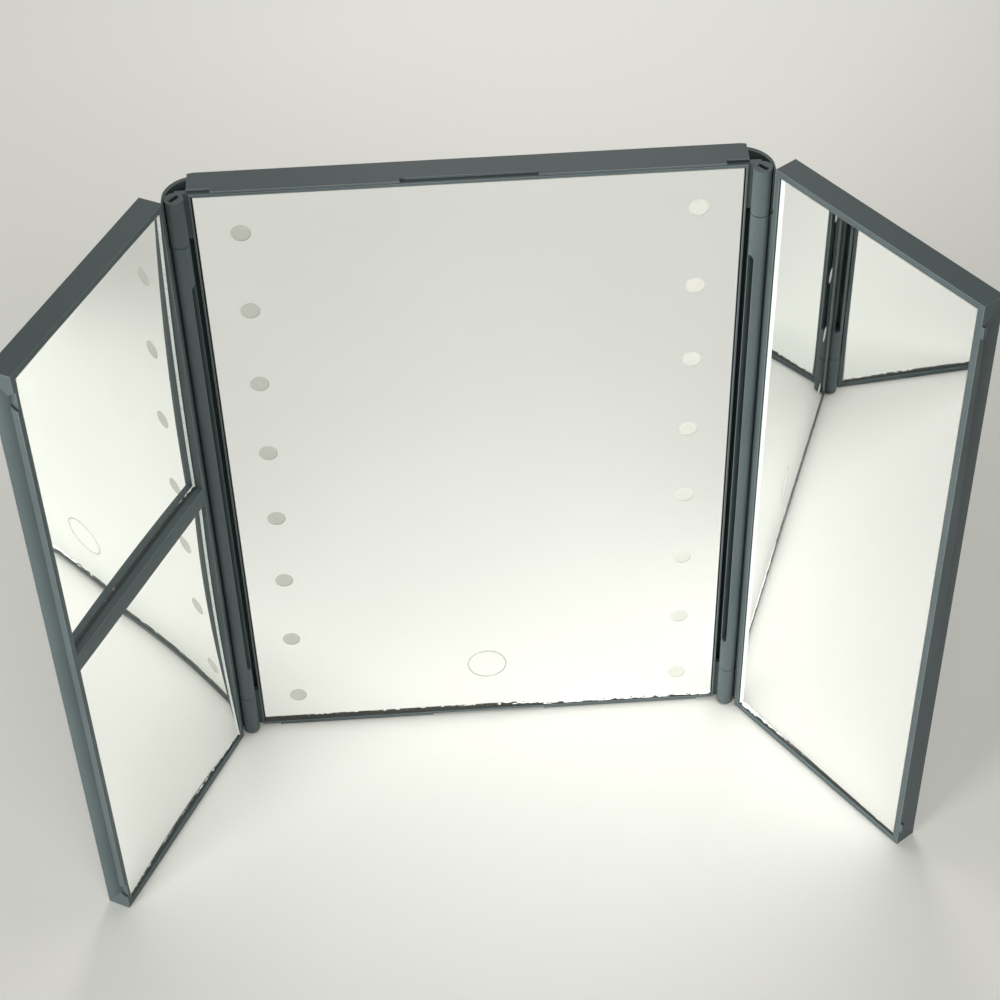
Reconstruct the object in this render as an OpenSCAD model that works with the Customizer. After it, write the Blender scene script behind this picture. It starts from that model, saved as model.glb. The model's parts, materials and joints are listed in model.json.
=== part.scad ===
// Trifold vanity mirror: a lit centre panel with a mirrored wing hinged to each side.
// Millimetres, +Z up, the viewer on the -Y side. The origin is the middle of the centre
// panel's resting face. Depths ("d") are counted backwards from the centre bezel's front.

/* [Panels] */
// Width of the centre panel's bezel
centre_w = 177.8; // [160:0.2:220]
// Height of all three panels
panel_h = 260; // [220:1:320]
// How far the left wing is folded forward from flat
left_fold = 62.7; // [0:0.1:180]
// How far the right wing is folded forward from flat
right_fold = 54.9; // [0:0.1:180]
// Gap between the two wings where they meet when shut
wing_meet_gap = 0.4; // [0.4:0.1:2]

/* [Centre frame] */
// Side wall of the frame beside the mirror
bezel_side = 0.65; // [0.6:0.05:2]
// Front rim of the frame above and below the mirror
bezel_end = 1; // [0.8:0.1:3]
// Floor that the mirror is stuck to
floor_t = 1; // [0.8:0.1:1.6]
// Wall of the frame behind the floor
frame_wall = 1.6; // [1.2:0.1:2.4]

/* [Rear shell] */
// Back wall
back_wall = 1.6; // [1.4:0.1:2.4]
// Top and bottom wall
end_wall = 1.8; // [1.4:0.1:2.4]
// Thin lip of those walls that laps over the frame
lap_t = 0.8; // [0.6:0.1:1.1]
// Gap between shell and frame
lap_gap = 0.1; // [0.05:0.05:0.3]
// Free depth behind the thickest part of the electronics
room_gap = 0.8; // [0.1:0.1:3]
// Outer radius of the rounded hinge covers
cover_r = 11; // [9:0.5:12]
// Wall of a hinge cover
cover_wall = 1; // [0.9:0.1:1.4]
// Thinnest wall left beside the hinge tube
cover_thin = 0.6; // [0.6:0.05:1.2]
// How much lower the cover's rims are than the panel's ends
cover_drop = 1.3; // [0.5:0.1:3]
// Straight end of the top wall, past the bezel
end_wall_over = 0.6; // [0.3:0.1:1]
// Length of the pry notches at the ends of the lip
end_notch_l = 7.5; // [4:0.5:12]
// Length of the pry notch in the middle of the lip
mid_notch_l = 44; // [20:1:60]
// Depth of the notches from the front
notch_d = 2; // [1:0.1:2.4]

/* [Hinges] */
// Radius of the hinge tube and knuckles
tube_r = 3.1; // [2.6:0.05:3.4]
// Gap between the side of the bezel and the hinge tube
tube_gap = 1.3; // [0.6:0.05:2.5]
// How far the hinge axis stands in front of the bezel
axis_fwd = 1.3; // [1:0.05:1.5]
// Length of the lower knuckles of the centre frame, from the panel's end
low_knuckle_l = 20.3; // [17:0.1:30]
// Length of the upper knuckles
top_knuckle_l = 18.6; // [17:0.1:30]
// End gap between knuckle and tube
knuckle_gap = 0.25; // [0.15:0.05:0.5]
// Gap round a turning tube
tube_clear = 0.3; // [0.3:0.05:0.6]
// Depth of the web that carries a knuckle or tube
web_t = 2; // [1.6:0.1:2.4]
// How far the web lies behind the front
web_set = 0.9; // [0:0.1:1]
// Width of the moulding slot in the tube
core_slot_w = 2.6; // [1.6:0.1:2.8]
// Wall of the tube behind the slot
core_back_t = 1.2; // [1:0.1:2]
// Unslotted length at each end of the tube
tube_solid_l = 17.5; // [15:0.5:25]
// Radius of the hinge pins
pin_r = 1.25; // [1:0.05:1.35]
// Running clearance of a pin in its sleeve
pin_clear = 0.05; // [0.02:0.01:0.1]
// Wall of the spring sleeves
sleeve_wall = 0.7; // [0.4:0.1:0.8]
// Length of the spring sleeves
sleeve_l = 12.5; // [8:0.5:13]
// Clearance of a seated pin or sleeve
seat_clear = 0.02; // [0.01:0.01:0.05]
// Width of a pin's flattened head
tang_w = 3.6; // [3:0.1:4]
// Thickness of a pin's flattened head
tang_t = 1.4; // [0.8:0.1:1.6]
// Length of the slot that holds it
tang_l = 6; // [4:0.5:8]
// How deep the head sits below the knuckle's end
tang_sunk = 1.8; // [0.5:0.1:3]

/* [Mirrors] */
// Thickness of the glass
glass_t = 2; // [1.6:0.1:2.4]
// Thickness of the foam tape under the glass
tape_t = 0.5; // [0.3:0.1:0.8]
// How deep the centre glass lies behind the bezel
centre_recess = 0.3; // [0.2:0.1:1.2]
// Gap beside the centre glass
centre_gap_side = 0.5; // [0.3:0.1:1]
// Gap above and below the centre glass
centre_gap_end = 0.4; // [0.3:0.1:2.5]
// How deep the right glass lies behind the wing's rim
right_recess = 0.4; // [0.3:0.1:2]
// How deep the highest corners of the left glasses lie behind the wing's rim
left_recess = 0.2; // [0.1:0.1:1.2]
// Gap round the wing glasses
wing_glass_gap = 0.5; // [0.3:0.1:1.2]
// Radius of curvature of the upper left mirror
upper_curve_r = 2350; // [1600:50:4000]
// Height of its deepest point, as a share of the glass's height
upper_low = 0.07; // [0:0.01:1]
// Radius of curvature of the lower left mirror
lower_curve_r = 1300; // [900:50:2000]
// Height of its deepest point, as a share of the glass's height
lower_low = 0.61; // [0:0.01:1]

/* [Wings] */
// Gap between a wing opened flat and the hinge cover
swing_gap = 0.4; // [0.4:0.1:2]
// Width of the wing's rim
wing_rim = 2.3; // [1.6:0.1:4]
// Width of the rim beside the hinge
hinge_rim = 1.8; // [1.4:0.1:4]
// Back wall of a wing
wing_floor = 1.6; // [1.2:0.1:2]
// Free depth between a wing's back wall and its deepest glass
glass_room = 1.3; // [0.4:0.1:3]
// Ledge that carries the glass
ledge_w = 4; // [3:0.5:8]
// Thickness of the ribs on the wing's back wall
rib_t = 1.2; // [0.8:0.1:2]
// Lower edge of the bar across the left wing
bar_z = 129.6; // [110:0.2:160]
// Width of the bar across the left wing
bar_w = 7; // [4:0.2:12]
// Radius of the closing nibs on the right wing
nib_r = 2.3; // [2:0.1:4]
// How far a nib stands out
nib_out = 0.9; // [0.7:0.1:1.2]
// Distance of the nibs from the panel's ends
nib_inset = 10; // [8:0.1:20]
// Clearance of a nib in its socket
nib_clear = 0.3; // [0.2:0.05:0.6]

/* [Lights] */
// Number of light windows on each side
window_count = 8; // [3:1:8]
// Diameter of a light window
window_dia = 6.6; // [4:0.1:7]
// Distance of the windows from the side of the bezel
window_inset = 15.1; // [14:0.1:24]
// Height of the lowest window
window_low = 16.5; // [15:0.1:30]
// Distance of the highest window from the top
window_high = 17.2; // [15:0.1:30]
// Depth of the etching behind the glass
etch_t = 0.15; // [0.05:0.05:0.3]
// Width of a light board and of its diffuser
board_w = 9; // [7.5:0.5:9]
// Thickness of the circuit boards
board_t = 1; // [0.8:0.1:1.6]
// Size of a light-emitting diode
led_size = 3; // [2:0.1:3.5]
// Height of a light-emitting diode
led_t = 0.7; // [0.5:0.05:0.8]

/* [Electronics] */
// Outer diameter of the touch ring
touch_dia = 15; // [10:0.5:18]
// Width of the touch ring's line
touch_line = 0.6; // [0.3:0.1:1]
// Height of the touch ring
touch_z = 27.9; // [24:0.1:31]
// Left edge of the control board
control_x0 = -34; // [-45:1:-25]
// Right edge of the control board
control_x1 = 52; // [48:1:58]
// Lower edge of the control board
control_z0 = 4.2; // [3.8:0.1:6]
// Upper edge of the control board
control_z1 = 40; // [36:1:50]
// Height of the board above the frame's floor
control_lift = 0.9; // [0.8:0.1:1.2]
// Place of the charging socket across the panel
socket_x = 40; // [36:1:44]
// Width of the charging socket
socket_w = 7.6; // [6:0.1:9]
// Thickness of the charging socket
socket_t = 2.7; // [2.2:0.1:3.2]
// Length of the charging socket
socket_l = 5.4; // [5:0.1:7]
// Wall of the socket's metal shell
socket_wall = 0.35; // [0.3:0.05:0.5]
// Width of the battery pack
battery_w = 64; // [40:1:90]
// Height of the battery pack
battery_h = 90; // [50:1:110]
// Thickness of the battery pack
battery_t = 3.4; // [2.5:0.1:4.4]
// Thickness of the tape under the battery pack
battery_tape_t = 0.4; // [0.2:0.1:0.8]
// Lower edge of the battery pack
battery_z = 70; // [60:1:90]
// Radius of the insulated wires
wire_r = 0.6; // [0.4:0.1:0.8]

/* [Fasteners] */
// Shank radius of the rear screws
screw_r = 1.2; // [1:0.1:1.4]
// Head radius of the rear screws
screw_head_r = 2.2; // [1.8:0.1:2.4]
// Head height of the rear screws
screw_head_t = 1.2; // [1:0.1:1.4]
// Distance of the rear screws from the side of the bezel
screw_inset = 6; // [5.5:0.1:7]
// Distance of the end screws from the panel's ends
screw_end = 32; // [28:1:60]
// Shank radius of the board screws
board_screw_r = 0.8; // [0.6:0.1:1]

/* [Hidden] */
$fn = 64;
cut = 1;             // how far a cutter runs past a face
sink = 0.1;          // how far joined shapes run into each other
lip_set = 0.15;      // how far the end walls' lip lies behind the bezel's front
loose = 0.3;         // room round a part that is put in from outside
screw_room = 0.15;   // room round a rear screw and its head
board_room = 0.2;    // room round the board's screws and tab

// Layers of the centre panel, from the bezel backwards
glass_back_d = centre_recess + glass_t;
floor_d = glass_back_d + tape_t;
floor_back_d = floor_d + floor_t;
strip_back_d = floor_back_d + board_t;
control_d = floor_back_d + control_lift;
control_back_d = control_d + board_t;
back_d = room_gap + max(control_back_d + socket_t,   // inside face of the rear shell
  floor_back_d + battery_tape_t + battery_t);
centre_d = back_d + back_wall;
lap_d = floor_back_d + lap_gap;

// Centre panel
front_y = -centre_d / 2;
half_w = centre_w / 2;
frame_z0 = lap_t + lap_gap;
frame_z1 = panel_h - frame_z0;
inner_z0 = end_wall + lap_gap;                       // frame behind the lapped strip
inner_z1 = panel_h - inner_z0;
open_z0 = frame_z0 + bezel_end;                      // opening for the glass
open_z1 = frame_z1 - bezel_end;
open_x = half_w - bezel_side;
glass_x = open_x - centre_gap_side;
glass_z0 = open_z0 + centre_gap_end;
glass_z1 = open_z1 - centre_gap_end;
window_x = half_w - window_inset;
window_pitch = (panel_h - window_high - window_low) / (window_count - 1);
window_z = [for (i = [0:window_count - 1]) window_low + i * window_pitch];
lamp_hole_r = window_dia / 2 + board_room;
strip_over = 9;                                      // light board past its last diode
strip_z0 = window_low - strip_over;
strip_z1 = panel_h - window_high + strip_over;
tape_margin = 1;
tape_w = 7;                                          // strip of tape beside a light board

// Hinges
hinge_x = half_w + tube_gap + tube_r;
hinge_y = front_y - axis_fwd;
tube_z0 = low_knuckle_l + knuckle_gap;
tube_z1 = panel_h - top_knuckle_l - knuckle_gap;
cover_x = hinge_x + tube_r + tube_clear + cover_thin; // outside of the hinge covers
cover_cx = cover_x - cover_r;
cover_cd = centre_d - cover_r;
cover_in_r = cover_r - cover_wall;
cover_in_d = back_d - cover_in_r;
cover_lip_d = -axis_fwd - 1;                         // front end of the covers
cover_relief_d = web_set + web_t + tube_clear;       // lets the wings open flat
frame_side_d = cover_in_d - lap_gap                  // the frame's sides end inside the covers
  + sqrt(pow(cover_in_r, 2) - pow(half_w - cover_cx, 2));
sleeve_r = pin_r + pin_clear + sleeve_wall;
pin_in_tube = sleeve_l + 0.5;
tang_angle = 47;

// Wings, in their own frame: x from the hinge axis, y backwards, front face at axis_fwd
wing_start = tube_r + tube_clear + cover_thin + swing_gap;
wing_end = hinge_x - wing_meet_gap / 2;
pocket_x0 = wing_start + hinge_rim;
pocket_x1 = wing_end - wing_rim;
pocket_z0 = wing_rim;
pocket_z1 = panel_h - wing_rim;
wing_glass_x = [pocket_x0 + wing_glass_gap, pocket_x1 - wing_glass_gap];
wing_mid_x = (wing_glass_x[0] + wing_glass_x[1]) / 2;
tray_glass_z = [pocket_z0 + wing_glass_gap, pocket_z1 - wing_glass_gap];

// Each wing glass: [low, high] ends, radius of curvature (0 is flat), height of its deepest
// point as a share, depth of its highest corners
lower_glass = [[tray_glass_z[0], bar_z - wing_glass_gap], lower_curve_r, lower_low, left_recess];
upper_glass = [[bar_z + bar_w + wing_glass_gap, tray_glass_z[1]], upper_curve_r, upper_low,
  left_recess];
right_glass = [tray_glass_z, 0, 0.5, right_recess];
wing_t = left_recess + max(dip(lower_glass), dip(upper_glass)) + glass_t + tape_t + glass_room
  + wing_floor;

// Electronics
touch_pad_r = touch_dia / 2 - 2.5;
post_r = 2.2;
chips = [                                            // lower left corner, size and height
  [-6, 18, 7, 5, 1.2], [14, 22, 5, 4, 1.2], [24, 28, 5, 5, 1.6], [-22, 14, 3, 1.6, 1],
  [32, 18, 3, 1.6, 1]
];
socket_tab = socket_w / 2 + 0.7;                     // half width of the board under the socket
post_places = [
  [control_x0 + 3.4, control_z1 - 3.4], [control_x1 - 3.4, control_z1 - 3.4],
  [control_x0 + 3.4, control_z0 + 4.4], [socket_x - 12, control_z0 + 4.4]
];
screw_boss_r = 2.6;
screw_boss_t = 1.1;                                  // boss on the shell under a head
screw_x = half_w - screw_inset;
screw_places = [for (side = [-1, 1], z = [screw_end, panel_h / 2, panel_h - screw_end])
  [side * screw_x, z]];
screw_seat_d = centre_d - screw_head_t - loose;
screw_post_end = screw_seat_d - screw_boss_t;
shell_rib_x = 50;                                    // upright ribs inside the shell
shell_rib_h = 2.5;

// Colours as the photograph shows them
slate = [0.42, 0.45, 0.46];
silver = [0.86, 0.88, 0.88];
steel = [0.7, 0.7, 0.72];

// Box between two corners, given as [low, high] in x, depth and z
module slab(x, d, z) {
  translate([x[0], front_y + d[0], z[0]]) cube([x[1] - x[0], d[1] - d[0], z[1] - z[0]]);
}

// Round bar along Y between two depths
module round_bar(x, z, d, r) {
  translate([x, front_y + d[0], z]) rotate([-90, 0, 0]) cylinder(r = r, h = d[1] - d[0]);
}

// Copies on the right and, mirrored, on the left
module both_sides() {
  children();
  mirror([1, 0, 0]) children();
}

// Puts a shape made for the bottom end at the top end
module at_top() {
  translate([0, 0, panel_h]) mirror([0, 0, 1]) children();
}

// Copies at the bottom and, mirrored, at the top
module both_ends() {
  children();
  at_top() children();
}

// Puts a shape from the wing's own frame where the right wing stands
module on_right_wing() {
  translate([hinge_x, hinge_y, 0]) rotate([0, 0, -right_fold]) children();
}

// The same for the left wing, which is the other one's mirror image
module on_left_wing() {
  translate([-hinge_x, hinge_y, 0]) rotate([0, 0, left_fold]) mirror([1, 0, 0]) children();
}

// Box in a wing's frame; t is the depth behind the wing's front face
module wing_slab(x, t, z) {
  translate([x[0], axis_fwd + t[0], z[0]]) cube([x[1] - x[0], t[1] - t[0], z[1] - z[0]]);
}

// Slot for a pin's flattened head, along the tube
module tang_slot(wide, thick, z0, z1) {
  rotate([0, 0, -tang_angle]) translate([-wide / 2, -thick / 2, z0]) cube([wide, thick, z1 - z0]);
}

// Lower knuckle of the centre frame on the right, l long, with its web
module knuckle(l) {
  difference() {
    union() {
      translate([hinge_x, hinge_y, frame_z0]) cylinder(r = tube_r, h = l - frame_z0);
      slab([half_w - bezel_side, hinge_x], [web_set, web_set + web_t], [frame_z0, l]);
    }
    translate([hinge_x, hinge_y, 0]) {
      translate([0, 0, frame_z0 + tang_l])
        cylinder(r = pin_r + seat_clear, h = l - frame_z0 - tang_l + cut);
      tang_slot(tang_w + 0.2, tang_t + 0.1, frame_z0 - cut, frame_z0 + tang_l + loose);
    }
  }
}

module centre_frame() {
  color(slate) difference() {
    union() {
      difference() {
        union() {
          slab([-half_w, half_w], [0, floor_back_d], [frame_z0, frame_z1]);
          slab([-half_w, half_w], [0, frame_side_d], [inner_z0, inner_z1]);
          slab([-cover_cx, cover_cx], [0, back_d], [inner_z0, inner_z1]);
        }
        slab([-open_x, open_x], [-cut, floor_d], [open_z0, open_z1]);
        slab([-half_w + frame_wall, half_w - frame_wall], [floor_back_d, back_d + cut],
          [inner_z0 + frame_wall, inner_z1 - frame_wall]);
      }
      for (p = post_places) round_bar(p[0], p[1], [floor_back_d - sink, control_d], post_r);
      for (p = screw_places)
        round_bar(p[0], p[1], [floor_back_d - sink, screw_post_end], screw_boss_r);
      both_sides() {
        knuckle(low_knuckle_l);
        at_top() knuckle(top_knuckle_l);
      }
    }
    for (side = [-1, 1], z = window_z)
      round_bar(side * window_x, z, [floor_d - cut, floor_back_d + cut], lamp_hole_r);
    round_bar(0, touch_z, [floor_d - cut, floor_back_d + cut], touch_pad_r + cut);
    for (p = post_places)
      round_bar(p[0], p[1], [floor_d + 0.4, control_d + cut], board_screw_r + seat_clear);
    for (p = screw_places)
      round_bar(p[0], p[1], [floor_back_d + 0.1, screw_post_end + cut], screw_r + seat_clear);
    slab([socket_x - socket_tab - loose, socket_x + socket_tab + loose],
      [control_d - board_room, back_d + cut], [0, inner_z0 + frame_wall + cut]);
  }
}

// Outline of the shell seen from above, up to x on the right side only
module cover_outline() {
  translate([cover_cx, front_y + cover_cd]) circle(r = cover_r, $fn = 128);
  translate([cover_cx, front_y + cover_lip_d]) square([cover_r, cover_cd - cover_lip_d]);
}

// Rounded hinge cover on the right
module hinge_cover() {
  difference() {
    translate([0, 0, cover_drop]) linear_extrude(panel_h - 2 * cover_drop) difference() {
      cover_outline();
      translate([0, front_y - cover_r]) square([cover_cx, 3 * cover_r]);
      translate([cover_cx, front_y + cover_in_d]) circle(r = cover_in_r, $fn = 128);
      translate([0, front_y - cover_r])
        square([cover_cx + cover_in_r, cover_in_d + cover_r]);
      translate([0, front_y - 2 * cover_r]) square([cover_x + cut, 2 * cover_r + cover_lip_d]);
      translate([hinge_x, hinge_y]) circle(r = tube_r + tube_clear);
    }
    // open along the turning tube, so that the wing's web can swing back to flat
    slab([half_w, cover_x + cut], [cover_lip_d - cut, cover_relief_d],
      [low_knuckle_l - knuckle_gap, panel_h - top_knuckle_l + knuckle_gap]);
  }
}

// Bottom wall with its lip and notches; the top wall is the same, mirrored
module end_wall_with_lip() {
  over = half_w + end_wall_over;
  difference() {
    linear_extrude(end_wall) intersection() {
      union() {
        translate([-cover_cx, front_y + lip_set]) square([2 * cover_cx, centre_d - lip_set]);
        for (side = [0, 1]) mirror([side, 0])
          translate([cover_cx, front_y + cover_cd]) circle(r = cover_r, $fn = 128);
        translate([-over, front_y + lip_set]) square([2 * over, centre_d / 2]);
      }
      translate([-over, front_y + lip_set]) square([2 * over, centre_d]);
    }
    slab([-over - cut, over + cut], [-cut, lap_d], [lap_t, end_wall + cut]);
    both_sides() slab([over - end_notch_l, over + cut], [-cut, notch_d], [-cut, lap_t + cut]);
    slab([-mid_notch_l / 2, mid_notch_l / 2], [-cut, notch_d], [-cut, lap_t + cut]);
  }
}

module rear_shell() {
  color(slate * 0.95) difference() {
    union() {
      slab([-cover_cx, cover_cx], [back_d, centre_d], [0, panel_h]);
      both_ends() end_wall_with_lip();
      both_sides() hinge_cover();
      for (p = screw_places)
        round_bar(p[0], p[1], [screw_post_end, back_d + sink], screw_boss_r);
      both_sides() slab([shell_rib_x, shell_rib_x + rib_t], [back_d - shell_rib_h, back_d + sink],
        [control_z1 + 8, inner_z1 - 20]);
    }
    for (p = screw_places) {
      round_bar(p[0], p[1], [screw_post_end - cut, centre_d + cut], screw_r + screw_room);
      round_bar(p[0], p[1], [screw_seat_d, centre_d + cut], screw_head_r + screw_room);
    }
    slab([socket_x - socket_w / 2 - loose, socket_x + socket_w / 2 + loose],
      [control_back_d - board_room, control_back_d + socket_t + sink], [-cut, end_wall + cut]);
  }
}

module centre_mirror() {
  color(silver) difference() {
    slab([-glass_x, glass_x], [centre_recess, glass_back_d], [glass_z0, glass_z1]);
    // etched windows and touch ring in the silvering on the back
    for (side = [-1, 1], z = window_z)
      round_bar(side * window_x, z, [glass_back_d - etch_t, glass_back_d + cut], window_dia / 2);
    difference() {
      round_bar(0, touch_z, [glass_back_d - etch_t, glass_back_d + cut], touch_dia / 2);
      round_bar(0, touch_z, [glass_back_d - cut, glass_back_d + 2 * cut],
        touch_dia / 2 - touch_line);
    }
  }
}

module centre_mirror_tape() {
  tape_x = glass_x - tape_margin;
  strip_x0 = window_x - board_w / 2 - loose;
  strip_x1 = window_x + board_w / 2 + loose;
  inner_x = strip_x0 - tape_w;
  color("white") difference() {
    slab([-tape_x, tape_x], [glass_back_d, floor_d],
      [glass_z0 + tape_margin, glass_z1 - tape_margin]);
    slab([-inner_x, inner_x], [glass_back_d - cut, floor_d + cut],
      [glass_z0 + tape_margin + tape_w, glass_z1 - tape_margin - tape_w]);
    both_sides() slab([strip_x0, strip_x1], [glass_back_d - cut, floor_d + cut],
      [strip_z0 - loose, strip_z1 + loose]);
  }
}

module diffuser(side) {
  x = side * window_x;
  color([0.95, 0.95, 0.9]) slab([x - board_w / 2, x + board_w / 2], [glass_back_d, floor_d],
    [strip_z0, strip_z1]);
}

module left_diffuser() { diffuser(-1); }
module right_diffuser() { diffuser(1); }

module light_board(side) {
  x = side * window_x;
  color([0.9, 0.92, 0.9]) slab([x - board_w / 2, x + board_w / 2],
    [floor_back_d, strip_back_d], [strip_z0, strip_z1]);
}

module left_light_board() { light_board(-1); }
module right_light_board() { light_board(1); }

module light_diodes(side) {
  x = side * window_x;
  color([1, 0.9, 0.5]) for (z = window_z)
    slab([x - led_size / 2, x + led_size / 2], [floor_back_d - led_t, floor_back_d],
      [z - led_size / 2, z + led_size / 2]);
}

module left_light_diodes() { light_diodes(-1); }
module right_light_diodes() { light_diodes(1); }

module touch_pad() {
  color([0.25, 0.25, 0.25])
    round_bar(0, touch_z, [glass_back_d, control_d], touch_pad_r);
}

module control_board() {
  color([0.1, 0.35, 0.2]) difference() {
    union() {
      slab([control_x0, control_x1], [control_d, control_back_d], [control_z0, control_z1]);
      slab([socket_x - socket_tab, socket_x + socket_tab], [control_d, control_back_d],
        [inner_z0 + board_room, control_z0 + sink]);
    }
    for (p = post_places)
      round_bar(p[0], p[1], [control_d - cut, control_back_d + cut], board_screw_r + board_room);
  }
}

module control_chips() {
  color([0.15, 0.15, 0.16]) for (c = chips)
    slab([c[0], c[0] + c[2]], [control_back_d, control_back_d + c[4]], [c[1], c[1] + c[3]]);
}

module board_screws() {
  color(steel) for (p = post_places) {
    round_bar(p[0], p[1], [floor_d + 0.5, control_back_d + sink], board_screw_r);
    round_bar(p[0], p[1], [control_back_d, control_back_d + 1], 2 * board_screw_r);
  }
}

// Metal shell, open downwards, with its contact tongue
module charging_socket() {
  w = socket_w;
  t = socket_t;
  z0 = 0.3;
  z1 = z0 + socket_l;
  d0 = control_back_d;
  tongue_d = d0 + t * 0.55;
  color(steel) {
    difference() {
      slab([socket_x - w / 2, socket_x + w / 2], [d0, d0 + t], [z0, z1]);
      slab([socket_x - w / 2 + socket_wall, socket_x + w / 2 - socket_wall],
        [d0 + socket_wall, d0 + t - socket_wall], [z0 - cut, z1 - 0.8]);
    }
    slab([socket_x - 1.9, socket_x + 1.9], [tongue_d, tongue_d + 0.5], [z0 + 0.8, z1 - 0.7]);
  }
}

module battery_pack() {
  d0 = floor_back_d + battery_tape_t;
  x1 = battery_w / 2;
  color([0.75, 0.76, 0.78]) {
    slab([-x1, x1], [d0, d0 + battery_t], [battery_z + 4, battery_z + battery_h]);
    // folded seal with the protection board at the lower end
    slab([-x1 + 4, x1 - 4], [d0 + 0.6, d0 + battery_t - 0.6], [battery_z, battery_z + 4.1]);
  }
}

module battery_tape() {
  x1 = battery_w / 2 - 6;
  color([0.9, 0.9, 0.85]) slab([-x1, x1], [floor_back_d, floor_back_d + battery_tape_t],
    [battery_z + 12, battery_z + battery_h - 8]);
}

// Wires from the battery's lower end down onto the back of the control board
module battery_wires() {
  for (x = [-12, -9]) color(x == -12 ? "red" : "black")
    translate([x, front_y + control_back_d + wire_r, control_z1 - 3])
      cylinder(r = wire_r, h = battery_z - control_z1 + 3, $fn = 24);
}

// Wires from the edge of the control board to the back of a light board
module light_wires(x0, x1) {
  for (z = [control_z1 - 8, control_z1 - 12]) color(z > control_z1 - 10 ? "white" : "black")
    translate([x0, front_y + strip_back_d + wire_r, z]) rotate([0, 90, 0])
      cylinder(r = wire_r, h = x1 - x0, $fn = 24);
}

module left_light_wires() { light_wires(-window_x - 2, control_x0); }
module right_light_wires() { light_wires(control_x1, window_x + 2); }

module rear_screws() {
  color(steel) for (p = screw_places) difference() {
    union() {
      round_bar(p[0], p[1], [floor_back_d + 0.4, screw_seat_d + sink], screw_r);
      round_bar(p[0], p[1], [screw_seat_d, screw_seat_d + screw_head_t], screw_head_r);
    }
    // cross recess
    for (a = [0, 90]) translate([p[0], front_y + screw_seat_d + screw_head_t, p[1]])
      rotate([0, a, 0]) cube([2.4, 1.4, 0.5], center = true);
  }
}

// Lower pin on the right, for a knuckle l long: round in the tube and knuckle, flattened at
// its outer end
module hinge_pin(l) {
  round_z0 = frame_z0 + tang_l + sink;
  translate([hinge_x, hinge_y, 0]) {
    translate([0, 0, round_z0])
      cylinder(r = pin_r, h = l + knuckle_gap + pin_in_tube - round_z0);
    tang_slot(tang_w, tang_t, frame_z0 + tang_sunk, round_z0 + sink);
  }
}

module hinge_pins() {
  color(steel) {
    hinge_pin(low_knuckle_l);
    at_top() hinge_pin(top_knuckle_l);
  }
}

module right_hinge_pins() { hinge_pins(); }
module left_hinge_pins() { mirror([1, 0, 0]) hinge_pins(); }

// Lower spring sleeve, beside a knuckle l long, in the wing's frame
module hinge_sleeve(l) {
  translate([0, 0, l + knuckle_gap + loose]) difference() {
    cylinder(r = sleeve_r, h = sleeve_l);
    translate([0, 0, -cut]) cylinder(r = pin_r + pin_clear, h = sleeve_l + 2 * cut);
  }
}

module hinge_sleeves() {
  color([0.5, 0.5, 0.52]) {
    hinge_sleeve(low_knuckle_l);
    at_top() hinge_sleeve(top_knuckle_l);
  }
}

module right_hinge_sleeves() { on_right_wing() hinge_sleeves(); }
module left_hinge_sleeves() { on_left_wing() hinge_sleeves(); }

module hinge_tube() {
  slot_z0 = tube_z0 + tube_solid_l;
  slot_z1 = tube_z1 - tube_solid_l;
  slot_y = [-tube_r - cut, tube_r - core_back_t];
  bore_l = pin_in_tube + cut;
  difference() {
    translate([0, 0, tube_z0]) linear_extrude(tube_z1 - tube_z0) {
      circle(r = tube_r);
      // web that carries the tube
      translate([0, axis_fwd + web_set]) square([wing_start + hinge_rim / 2, web_t]);
    }
    // moulding slot, open to the front, with round ends
    translate([-core_slot_w / 2, slot_y[0], slot_z0])
      cube([core_slot_w, slot_y[1] - slot_y[0], slot_z1 - slot_z0]);
    for (z = [slot_z0, slot_z1]) translate([0, slot_y[0], z]) rotate([-90, 0, 0])
      cylinder(r = core_slot_w / 2, h = slot_y[1] - slot_y[0]);
    for (z = [tube_z0 - cut, tube_z1 - bore_l]) translate([0, 0, z])
      cylinder(r = sleeve_r + seat_clear, h = bore_l + cut);
  }
}

// Tray of a wing for a list of glasses, with its hinge tube
module wing_body(glasses) {
  back_in = wing_t - wing_floor;
  difference() {
    wing_slab([wing_start, wing_end], [0, wing_t], [0, panel_h]);
    for (g = glasses) {
      z = [g[0][0] - wing_glass_gap, g[0][1] + wing_glass_gap];
      // well for the glass and its tape, down to the ledge
      difference() {
        wing_slab([pocket_x0, pocket_x1], [-cut, back_in], z);
        under_glass(g) wing_slab([pocket_x0, pocket_x1], [0, wing_t], z);
      }
      // hollow inside the ledge
      wing_slab([pocket_x0 + ledge_w, pocket_x1 - ledge_w], [g[3], back_in],
        [z[0] + ledge_w, z[1] - ledge_w]);
    }
  }
  for (g = glasses) under_glass(g) wing_ribs(g[0], back_in);
  hinge_tube();
}

// Crossed ribs on the back wall, inside the ledge
module wing_ribs(z, back_in) {
  x0 = pocket_x0 + ledge_w - sink;
  x1 = pocket_x1 - ledge_w + sink;
  rows = ceil((z[1] - z[0]) / 60);
  for (k = [1:2]) {
    x = x0 + (x1 - x0) * k / 3 - rib_t / 2;
    wing_slab([x, x + rib_t], [0, back_in + sink], [z[0] + ledge_w / 2, z[1] - ledge_w / 2]);
  }
  for (k = [1:rows]) {
    zc = z[0] + (z[1] - z[0]) * k / (rows + 1) - rib_t / 2;
    wing_slab([x0, x1], [0, back_in + sink], [zc, zc + rib_t]);
  }
}

// Height of a glass's deepest point
function low_z(g) = g[0][0] + g[2] * (g[0][1] - g[0][0]);

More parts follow.
